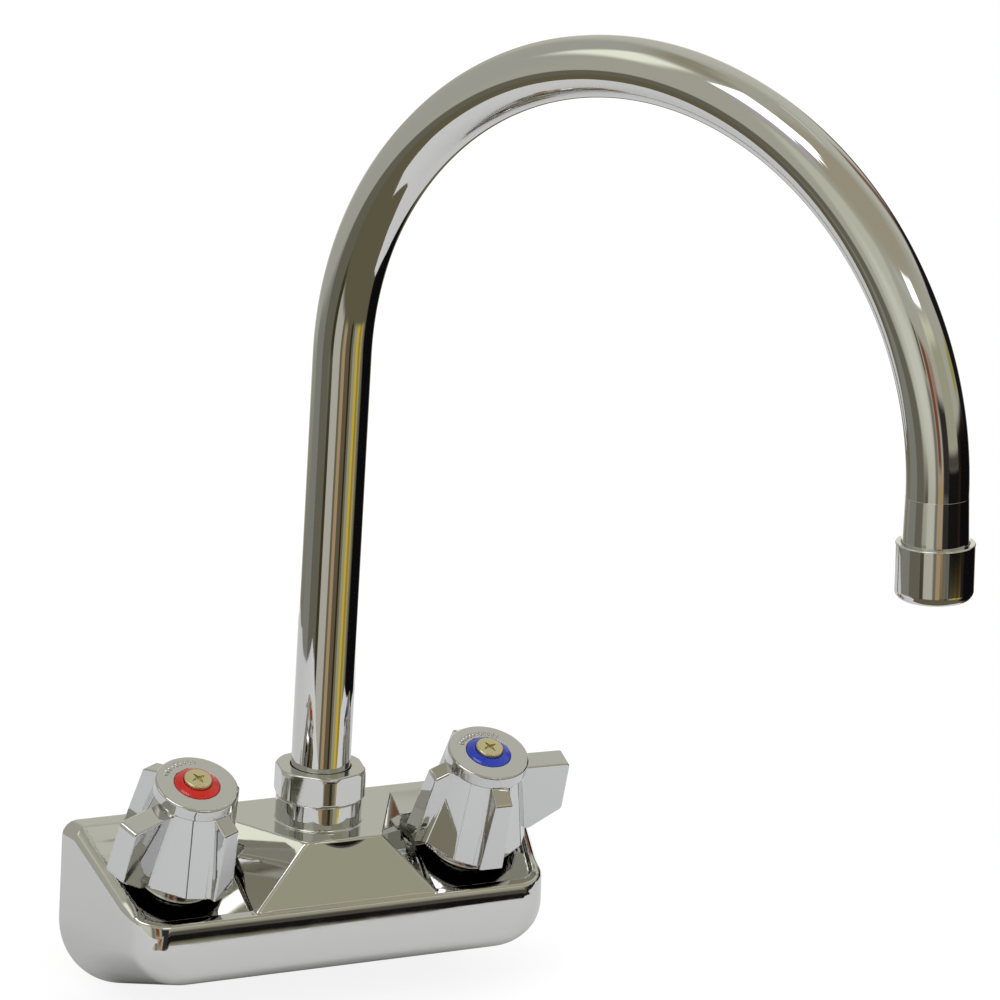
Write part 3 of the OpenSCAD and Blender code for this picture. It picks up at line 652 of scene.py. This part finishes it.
# %% [markdown]
# ## The spout tube
# The spout is one length of three quarter inch brass tube: straight up, a little less than
# half a turn, and a short way down to the outlet. A tree walks along the tube by its
# length. While it is on the bend the way walked becomes an angle, and what is left over
# before or after the bend goes straight. The arithmetic is a list of steps, each with the
# name of its result, and a loop turns every step into one node. The wall is given its
# thickness afterward.

# %% Spout tube
def spout_path(tree, size):
    line = add(tree, "GeometryNodeCurvePrimitiveLine", {0: (0, 0, 0), 1: (0, 0, 1)})
    line = add(tree, "GeometryNodeResampleCurve", {"Curve": line, "Count": size["Steps"]})
    known = {socket.name: socket for socket in size}
    known["share"] = add(tree, "GeometryNodeSplineParameter").outputs["Factor"]
    for name, operation, *terms in (
            ("rise", "SUBTRACT", "Bend height", "Bottom"),
            ("bend", "MULTIPLY", "Bend radius", "Bend angle"),
            ("whole", "ADD", "rise", "bend"),
            ("whole", "ADD", "whole", "Outlet length"),
            ("walked", "MULTIPLY", "share", "whole"),
            ("past", "SUBTRACT", "walked", "rise"),         # way walked past the start of the bend
            ("angle", "DIVIDE", "past", "Bend radius"),
            ("angle", "MAXIMUM", "angle", 0.0),
            ("angle", "MINIMUM", "angle", "Bend angle"),
            ("cosine", "COSINE", "angle"),
            ("sine", "SINE", "angle"),
            ("x", "SUBTRACT", 1.0, "cosine"),
            ("x", "MULTIPLY", "Bend radius", "x"),
            ("z", "MULTIPLY_ADD", "Bend radius", "sine", "Bend height"),
            ("below", "MINIMUM", "past", 0.0),              # the straight riser
            ("after", "SUBTRACT", "past", "bend"),          # the straight outlet leg
            ("after", "MAXIMUM", "after", 0.0),
            ("x", "MULTIPLY_ADD", "after", "sine", "x"),
            ("z", "ADD", "z", "below"),
            ("z", "MULTIPLY_ADD", "after", "cosine", "z")):
        values = {k: known.get(term, term) for k, term in enumerate(terms)}
        known[name] = add(tree, "ShaderNodeMath", values, operation=operation)
    spot = add(tree, "ShaderNodeCombineXYZ", {0: known["x"], 2: known["z"]})
    path = add(tree, "GeometryNodeSetPosition", {"Geometry": line, "Position": spot})
    path = add(tree, "GeometryNodeStoreNamedAttribute",
               {"Geometry": path, "Name": "along", "Value": known["walked"]},
               data_type="FLOAT", domain="POINT")
    return swept(tree, path, size["Tube radius"], size["Sides"], caps=False)


sizes = {"Tube radius": 0.009525, "Bend radius": 0.001 * BEND_RADIUS, "Bend height": 0.001 * BEND_HEIGHT,
         "Bottom": 0.046, "Bend angle": pi - OUTLET_LEAN, "Outlet length": 0.0138,
         "Steps": 360, "Sides": 84}
tube = grow("spout_tube_drawn", sizes, spout_path, chrome_tube)
wall = tube.modifiers.new("wall", "SOLIDIFY")
wall.thickness = 0.001
wall.offset = -1
settle(tube, spout_at)
attach(tube, "spout", "chrome_spout", "spout_tube")

# %% [markdown]
# ## The nut and the outlet
# The spout nut is a hexagon whose corners are turned down until narrow round faces are
# left between the flats. It is cut by a distance rule, as the body is.

# %% Spout nut
def hexagon(x, y, z, inner, angles):
    """The six flats of a nut at a distance inner from its axis."""
    flats = [np.abs(x * cos(a) + y * sin(a)) + 0 * z for a in np.radians(angles)]
    return -inner + np.maximum.reduce(flats)


SPOUT_NUT_TOP = 48.2


def nut_rule(x, y, z):
    flats = hexagon(x, y, z, 13.8, (-72, -12, 48))
    out = np.hypot(x, y)
    solid = meet(flats, out - 14.8, 0.12)
    solid = meet(solid, (out - 14.3) * 0.876 + (z - SPOUT_NUT_TOP) * 0.482, 0.3)
    solid = meet(solid, z - SPOUT_NUT_TOP, 0.5)
    solid = meet(solid, (out - 14.0) * 0.707 - (z - HUB_TOP) * 0.707, 0.2)
    solid = meet(solid, HUB_TOP - z, 0.2)
    bore = np.maximum(out - 12.24, z - NECK_TOP)
    bore = np.minimum(bore, np.maximum(out - 12, z - 46.8))
    bore = np.minimum(bore, out - 9.9)
    return meet(solid, -bore, 0.12)


surface = skin(nut_rule, (-15.4, -15.4, 37.8), (15.4, 15.4, 48.6), 0.27)
nut = piece("spout_nut_turned", surface, [chrome_turned], riser_at)
attach(nut, "base", "chrome_nut", "spout_nut")
print("nut:", len(nut.data.polygons), "quads")

# %% [markdown]
# The outlet adapter, a slim cone over the tube's end, and the aerator shell are turned
# rings. Their outlines are written in millimetres, as radius, height and edge rounding.

# %% Adapter and aerator shell
adapter = [(8.0, 160.7, 0.1), (10.55, 160.7, 0.2), (10.55, 167.6, 0.1), (10.0, 167.6, 0.1),
           (9.95, 170.0, 0.8), (9.56, 182.5, 0.1), (9.53, 182.5, 0.01), (9.53, 170.7, 0.05),
           (8.0, 170.7, 0.1)]
attach(piece("outlet_adapter_turned", turned(adapter), [chrome_tube], outlet_at),
       "spout", "chrome_spout", "outlet_adapter")
SHELL_LOW = 151.6
shell = [(8.2, 0, 0.3), (11.9, 0, 3.1), (11.9, 17.1, 0.45), (10.1, 17.1, 0.15), (10.1, 16.7, 0.1),
         (10.6, 16.1, 0.1), (10.6, 8.0, 0.1), (10.2, 8.0, 0.1), (10.2, 1.5, 0.1), (8.2, 1.5, 0.1)]
shell = turned([(r, z + SHELL_LOW, f) for r, z, f in shell])
attach(piece("aerator_shell_turned", shell, [chrome_tube], outlet_at),
       "spout", "chrome_spout", "aerator_shell")
print("adapter and shell turned")

# %% [markdown]
# ## The handles
# Each handle is a zinc die casting: a skirt of twelve flats that widens downward, three
# short fins and one long arm, and a flat round cap with a sunk seat for the index ring.
# The skirt's twelve corners run on straight lines from the foot to the cap, so the rule
# works out its flats for every height. Inside it is hollow around the bonnet nut, with a
# socket for the stem. The inside is left unplated, dull, and painted near black as painted shade.

# %% Handle rule
SKIRT = ((18.2, 11.4, 13.6, 15.0), (18.3, 53.6, 12.0, 45.5), (19.0, 73.0, 12.4, 78.0))
FOOT = 3.5                               # height of the skirt's lower rim
CAP_R, CAP_TOP, SEAT = 13.3, 35.8, 34.4  # the cap, and the seat of the index ring in it


def skirt_corner(edge, height, quarter=0):
    """One corner of the skirt at a height, from its radius and angle at the foot and at the cap."""
    r0, a0, r1, a1 = edge
    rise = (height - FOOT) / 26.5
    low, high = radians(a0 + 90 * quarter), radians(a1 + 90 * quarter)
    return ((1 - rise) * r0 * cos(low) + rise * r1 * cos(high),
            (1 - rise) * r0 * sin(low) + rise * r1 * sin(high))


def hollow_rule(x, y, z):
    """The hollow of a handle, around its socket for the stem."""
    out = np.hypot(x, y)
    cone = np.maximum((out - 16.4 + (z - 2.5) * 0.2275) * 0.975, z - 28)
    return meet(cone, -np.maximum(out - 6.2, 14 - z), 0.5)


def handle_rule(x, y, z, back):
    """A handle casting. back is 1 or -1 and says which short fin points to the wall."""
    out = np.hypot(x, y)
    # The skirt: twelve flats between corners that run from the foot to the cap.
    corners = [skirt_corner(edge, z, quarter) for quarter in range(4) for edge in SKIRT]
    solid = FOOT - z
    for (ax, ay), (bx, by) in zip(corners, corners[1:] + corners[:1]):
        nx, ny = by - ay, ax - bx
        solid = meet(solid, ((x - ax) * nx + (y - ay) * ny) / np.hypot(nx, ny) * 0.975, 0.3)
    solid = meet(solid, z - 31.8, 0.2)
    # Three short fins. The one that points to the wall reaches further.
    thick = 4.15 - 1.15 * np.clip((z - FOOT) / 25, 0, 1)
    for p, q, more in ((y, x, back > 0), (-x, y, False), (-y, x, back < 0)):
        fin = meet(np.abs(q) - thick, (p - 20.6 - 2 * more) * 0.9954 + (z - FOOT) * 0.0963, 0.5)
        fin = meet(fin, (z - 30.6 - 0.4 * more) * 0.877 + (p - 14 - 2 * more) * 0.4803, 0.6)
        fin = np.maximum(meet(fin, FOOT - z, 0.3), 5 - p)
        solid = join(solid, fin, 1.3)
    # The long arm, whose underside slopes up to its end.
    thick = 3.95 - 0.25 * np.clip((z - 4.4) / 25, 0, 1)
    end = meet((x - 30.4) * 0.9973 + (z - 11.6) * 0.0735, (x - 20.6) * 0.592 - (z - 4.4) * 0.8059, 0.8)
    end = meet(end, (z - 30.6) + (x - 29) * 0.0133, 1.3)
    arm = np.maximum(meet(meet(np.abs(y) - thick, end, 0.55), 4.4 - z, 0.3), 5 - x)
    solid = join(solid, arm, 1.0)
    # The cap, the hollow, the bores for stem and screw, and the seat of the ring.
    cap = meet(meet(out - CAP_R, z - CAP_TOP, 0.75), 31.35 - z, 0.5)
    solid = join(solid, cap, 0.3)
    solid = meet(solid, -hollow_rule(x, y, z), 0.3)
    solid = np.maximum(solid, -np.maximum(out - 3.64, np.maximum(12 - z, z - 30.2)))
    solid = np.maximum(solid, -(out - 2.2))
    return meet(solid, -np.maximum(out - 7.38, SEAT - z), 0.1)

# %% [markdown]
# Both castings are skinned from the one rule. The valves, and the handles on them, lean
# toward the user, each turned as it is when closed. Faces on the hollow or down in the
# bores get the unplated finish, whose near black colour is painted shade.

# %% Handles
HOT_TURN, COLD_TURN = 157, 1


def handle_place(side, turn):
    return (Matrix.Translation((side * CENTRE, -VALVE_OUT, VALVE_UP)) @ Matrix.Rotation(TILT, 4, "X")
            @ Matrix.Rotation(radians(-turn), 4, "Z"))


hot_at, cold_at = handle_place(-1, HOT_TURN), handle_place(1, COLD_TURN)
for side, place, back in (("hot", hot_at, -1), ("cold", cold_at, 1)):
    surface = skin(lambda x, y, z: handle_rule(x, y, z, back), (-23.2, -23.2, 3.0), (31.4, 23.2, 36.4), 0.38)
    middle = surface[0][surface[1]].mean(1)
    in_bore = (np.hypot(middle[:, 0], middle[:, 1]) < 3.8) & (middle[:, 2] < 34)
    # Faces in the hollow and down the bores take the near black painted shade.
    inside = (hollow_rule(*middle.T) < 0.12) | in_bore
    made = piece(side + "_handle_cast", surface, [chrome_zinc, zinc_painted_dark], place, inside)
    attach(made, side + "_lever", "chrome_handle", side + "_handle")
print("handles:", len(surface[1]), "quads each")

# %% [markdown]
# ## Index rings and screws
# A red or blue plastic ring is pressed into the cap, and a pan head screw with a crossed
# recess holds the handle to the stem. The ring is a turned shape with a domed shoulder.
# The screw head is so small that its recess comes from another distance rule.

# %% Rings and screws
ring = [(2.2, SEAT, 0.05), (7.3, SEAT, 0.1), (7.3, 35.9, 0.4), (6.6, 36.35, 0.7), (5.2, 36.95, 0.4),
        (4.55, 36.95, 0.15), (4.55, 36.4, 0.05), (2.2, 36.4, 0.05)]


def screw_rule(x, y, z):
    out = np.hypot(x, y)
    head = meet(out - 4.45, z - 38.3 + 0.008 * out * out, 0.45)
    head = meet(head, 36.4 - z, 0.1)
    shaft = meet(out - 1.7, np.maximum(21.4 - z, z - 36.7), 0.3)
    solid = join(head, shaft, 0.1)
    c, s = cos(radians(20)), sin(radians(20))
    p, q = np.abs(x * c + y * s), np.abs(y * c - x * s)
    narrow = 0.62 - 0.2 * (38.1 - z)
    first = np.maximum(q - narrow * (1.15 - p / 2.6), p - 2.35)
    second = np.maximum(p - narrow * (1.15 - q / 2.6), q - 2.35)
    star = np.minimum(np.minimum(first, second), np.hypot(p, q) - 0.75)
    return meet(solid, -np.maximum(star * 0.9, 37.1 + 0.25 * np.maximum(p, q) - z), 0.08)


surface = skin(screw_rule, (-4.8, -4.8, 21.1), (4.8, 4.8, 38.6), 0.13)
for side, place, turn, plastic, colour in (("hot", hot_at, HOT_TURN, red_plastic, "red"),
                                           ("cold", cold_at, COLD_TURN, blue_plastic, "blue")):
    attach(piece(side + "_index_ring_moulded", turned(ring), [plastic], place),
           side + "_lever", colour + "_plastic", side + "_index_ring")
    level = place @ Matrix.Rotation(radians(turn), 4, "Z")
    attach(piece(side + "_handle_screw_pan", surface, [screw_plate], level),
           side + "_lever", "screw_brass", side + "_handle_screw")
print("screw:", len(surface[1]), "quads")

# %% [markdown]
# ## Fine details of the handles
# A die casting tells how it was made. A parting line climbs one corner of the skirt and
# crosses the cap's rim, fine ridges stand on the other corners where the die was polished
# flat by flat, a run of small teeth is left under the rim where the casting was trimmed,
# and a short row of raised ticks marks the cap. All of them repeat or follow a line, so
# node trees grow them, and each handle gets its own copy in its own place.

# %% Ridges and parting line
def on_corner(edge, height):
    x, y = skirt_corner(edge, height)
    return (0.001 * x, 0.001 * y, 0.001 * height)


def lines(tree, pairs):
    """Straight lines between pairs of points, as one set of curves."""
    made = [add(tree, "GeometryNodeCurvePrimitiveLine", {0: a, 1: b}) for a, b in pairs]
    joined = add(tree, "GeometryNodeJoinGeometry")
    for line in made:
        tree.links.new(line.outputs[0], joined.inputs[0])
    return joined


def ridge_lines(tree, size):
    quarter = lines(tree, [(on_corner(edge, 3.7), on_corner(edge, 31.2)) for edge in SKIRT])
    turns = add(tree, "GeometryNodeMeshLine", {"Count": size["Quarters"], "Offset": (0, 0, 0)})
    index = add(tree, "GeometryNodeInputIndex")
    angle = add(tree, "ShaderNodeMath", {0: index, 1: pi / 2}, operation="MULTIPLY")
    spin = add(tree, "ShaderNodeCombineXYZ", {2: angle})
    four = add(tree, "GeometryNodeInstanceOnPoints",
               {"Points": turns, "Instance": quarter, "Rotation": spin})
    four = add(tree, "GeometryNodeRealizeInstances", {0: four})
    return swept(tree, four, size["Ridge radius"], 8)


def parting_line(tree, size):
    spots = [on_corner(SKIRT[1], 3.6), on_corner(SKIRT[1], 31.3)]
    for r, a, height in ((0.01324, 46.5, 0.0317), (0.0133, 44.8, 0.0334), (0.0133, 46, 0.0351)):
        spots.append((r * cos(radians(a)), r * sin(radians(a)), height))
    return swept(tree, lines(tree, zip(spots, spots[1:])), size["Seam radius"], 10)


def detail(side, name, place, sizes, fill, material=chrome_zinc):
    """Grow one fine detail on one handle."""
    made = settle(grow(side + "_handle_" + name, sizes, fill, material), place)
    attach(made, side + "_lever", "chrome_handle")


for side, place in (("hot", hot_at), ("cold", cold_at)):
    detail(side, "ridges", place, {"Quarters": 4, "Ridge radius": 0.0001}, ridge_lines)
    detail(side, "parting_line", place, {"Seam radius": 0.0002}, parting_line, flash_line)

# %% [markdown]
# The teeth and the ticks both stand in a row on an arc. Each one is turned to face along
# the arc, and a seeded random size keeps the row from looking machine made.

# %% Trim teeth and index ticks
def on_arc(tree, size, shape, jitter):
    arc = add(tree, "GeometryNodeCurveArc", {"Resolution": size["Count"], "Radius": size["Radius"],
                                             "Start Angle": size["Start"], "Sweep Angle": size["Sweep"]})
    spots = add(tree, "GeometryNodeCurveToPoints", {"Curve": arc}, mode="EVALUATED")
    up = add(tree, "ShaderNodeCombineXYZ", {2: size["Height"]})
    raised = add(tree, "GeometryNodeSetPosition", {"Geometry": spots, "Offset": up})
    limits = {"Min": (1 - jitter,) * 3, "Max": (1 + jitter,) * 3, "Seed": size["Seed"]}
    wide = add(tree, "FunctionNodeRandomValue", limits, data_type="FLOAT_VECTOR")
    gaps = add(tree, "ShaderNodeMath", {0: size["Count"], 1: 1.0}, operation="SUBTRACT")
    step = add(tree, "ShaderNodeMath", {0: size["Sweep"], 1: gaps}, operation="DIVIDE")
    index = add(tree, "GeometryNodeInputIndex")
    along = add(tree, "ShaderNodeMath", {0: index, 1: step}, operation="MULTIPLY")
    angle = add(tree, "ShaderNodeMath", {0: size["Start"], 1: along}, operation="ADD")
    spin = add(tree, "ShaderNodeCombineXYZ", {2: angle})
    return add(tree, "GeometryNodeInstanceOnPoints",
               {"Points": raised, "Instance": shape, "Rotation": spin, "Scale": wide})


def teeth(tree, size):
    tooth = add(tree, "GeometryNodeMeshCone", {"Vertices": 8, "Radius Top": 0.00012, "Radius Bottom": 0.0004,
                                               "Depth": 0.0009})
    tooth = add(tree, "GeometryNodeTransform", {"Geometry": tooth, "Rotation": (pi, 0, 0)})
    return on_arc(tree, size, tooth, 0.15)


def ticks(tree, size):
    pip = add(tree, "GeometryNodeMeshUVSphere", {"Segments": 16, "Rings": 8, "Radius": 0.0007})
    pip = add(tree, "GeometryNodeTransform", {"Geometry": pip, "Scale": (1.5, 0.7, 0.55)})
    return on_arc(tree, size, pip, 0.25)


for side, place, turn, count, start, sweep, radius in (("hot", hot_at, HOT_TURN, 9, 75, 70, 0.0104),
                                                       ("cold", cold_at, COLD_TURN, 12, 50, 93, 0.0093)):
    sizes = {"Count": 20, "Radius": 0.01755, "Height": 0.001 * FOOT, "Start": radians(193),
             "Sweep": radians(62), "Seed": 3}
    detail(side, "trim_teeth", place, sizes, teeth)
    sizes = {"Count": count, "Radius": radius, "Height": 0.001 * CAP_TOP, "Start": radians(start + turn),
             "Sweep": radians(sweep), "Seed": 5}
    detail(side, "index_ticks", place, sizes, ticks)

# %% [markdown]
# ## Shanks, washers and lock nuts
# Behind the wall line two threaded shanks carry pressed washers and hexagon lock nuts. The
# thread is one helix: a spiral curve with a small tooth swept along it, on a turned core.

# %% Threaded shanks
def thread(tree, size):
    coil = add(tree, "GeometryNodeCurveSpiral",
               {"Resolution": 40, "Rotations": size["Turns"], "Height": size["Length"],
                "Start Radius": size["Thread radius"], "End Radius": size["Thread radius"]})
    upright = add(tree, "GeometryNodeSetCurveNormal", {"Curve": coil}, mode="Z_UP")
    return swept(tree, upright, size["Tooth"], 6)


core = [(6.5, -9.9, 0.1), (8.45, -9.9, 0.2), (8.45, -1.5, 0.1), (10.48, -1.5, 0.1), (10.48, 0.9, 0.3),
        (9.75, 1.6, 0.1), (9.75, 33.3, 0.1), (9.2, 34.0, 0.2), (6.5, 34.0, 0.3)]
washer = [(10.78, 0.0, 0.1), (17.0, 0.0, 0.5), (17.0, 2.0, 0.3), (10.78, 2.0, 0.1)]
WALL, NUT_LOW, NUT_TOP = 12, 14, 20.5   # millimetres behind the body's back face


def lock_nut_rule(x, y, z):
    out = np.hypot(x, y)
    flats = hexagon(x, y, z, 15.5, (30, 90, 150))
    solid = meet(meet(flats, out - 17, 0.2), z - NUT_TOP, 0.25)
    solid = meet(meet(solid, NUT_LOW - z, 0.25), (out - 16.2) * 0.6 + (z - NUT_TOP) * 0.8, 0.2)
    solid = meet(solid, (out - 16.2) * 0.6 + (NUT_LOW - z) * 0.8, 0.2)
    return meet(solid, 10.52 - out, 0.3)


surface = skin(lock_nut_rule, (-17.6, -17.6, 13.6), (17.6, 17.6, 20.9), 0.4)
backward = Matrix.Rotation(-pi / 2, 4, "X")
for side, sign in (("hot", -1), ("cold", 1)):
    place = Matrix.Translation((sign * CENTRE, 0, 0)) @ backward
    attach(piece(side + "_shank_core", turned(core), [brass], place), "base", "brass", side + "_shank")
    start = Matrix.Translation((sign * CENTRE, 2.0, 0)) @ backward
    sizes = {"Turns": 17.0, "Thread radius": 0.00985, "Length": 0.0308, "Tooth": 0.00062}
    attach(settle(grow(side + "_shank_thread", sizes, thread, brass), start), "base", "brass")
    low = Matrix.Translation((sign * CENTRE, WALL, 0)) @ backward
    attach(piece(side + "_wall_washer_pressed", turned(washer), [zinc_steel], low),
           "base", "steel", side + "_wall_washer")
    attach(piece(side + "_lock_nut_milled", surface, [brass], place), "base", "brass", side + "_lock_nut")
print("lock nuts:", len(surface[1]), "quads each")

# %% [markdown]
# ## Finishes for the inside parts
# The cartridges, discs, seals and rings keep their CAD shapes, which are what the real
# turned and moulded parts look like. They only get their true finishes. The bonnet nuts
# live in the dark under the handles, so their brass is painted dark brown as painted shade.

# %% Finishes for the CAD parts
# The bonnet nuts' dark brown brass is painted shade.
worn = {"sleeve": brass, "cartridge": brass, "bonnet_nut": brass_painted_dark, "stem": brass, "o_ring": rubber,
        "seal": rubber, "gasket": rubber, "washer": acetal, "slip_ring": acetal, "insert": acetal,
        "disc": ceramic, "clip": zinc_steel}
kept = 0
for name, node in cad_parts.items():
    finishes = [m for key, m in worn.items() if name.endswith(key)]
    if finishes:
        node.data.materials.clear()
        node.data.materials.append(finishes[0])
        kept += 1
print("CAD parts with their own finish:", kept)
